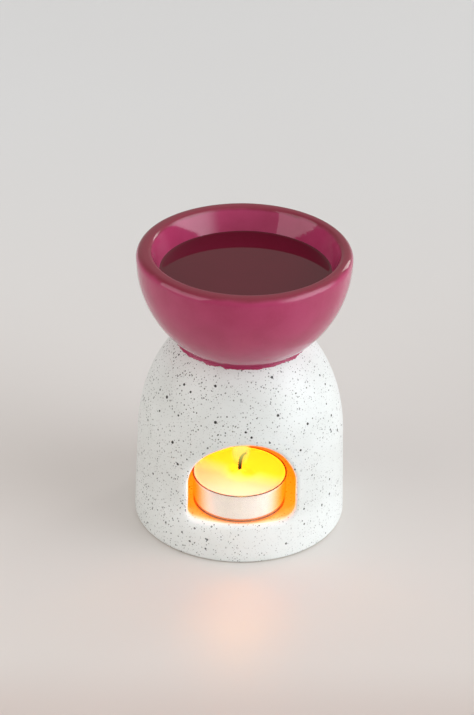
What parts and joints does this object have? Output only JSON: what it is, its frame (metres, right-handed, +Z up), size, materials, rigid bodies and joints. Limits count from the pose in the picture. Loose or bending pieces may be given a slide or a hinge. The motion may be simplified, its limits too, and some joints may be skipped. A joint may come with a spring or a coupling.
{
  "type": "tealight wax melter",
  "caption": "Speckled ceramic dome with an arched front opening for a tealight, and a glazed bowl of melted wax bonded on top.",
  "frame": {"origin": "centre of the foot, on the table", "axes": "+Z up, the front opening faces -Y, +X to the right of someone who looks at the opening"},
  "size_m": [0.085, 0.085, 0.1178],
  "materials": {
    "speckled_glaze": "satin",
    "plum_glaze": "gloss",
    "melted_wax": "polished",
    "cup_plastic": "gloss",
    "candle_wax": "satin",
    "wick_cotton": "matte",
    "sustainer_metal": "satin"
  },
  "bodies": {
    "melter": {"burner_base": "speckled_glaze", "wax_bowl": "plum_glaze", "joint_collar": "plum_glaze", "melted_wax": "melted_wax"},
    "tealight": {"tealight_cup": "cup_plastic", "tealight_wax": "candle_wax", "tealight_wick": "wick_cotton", "wick_sustainer": "sustainer_metal"}
  },
  "joints": [
    {"name": "tealight_slide", "type": "slide", "parent": "melter", "child": "tealight", "axis": [0, -1, 0], "range_m": [-0.0221, 0.042]}
  ]
}
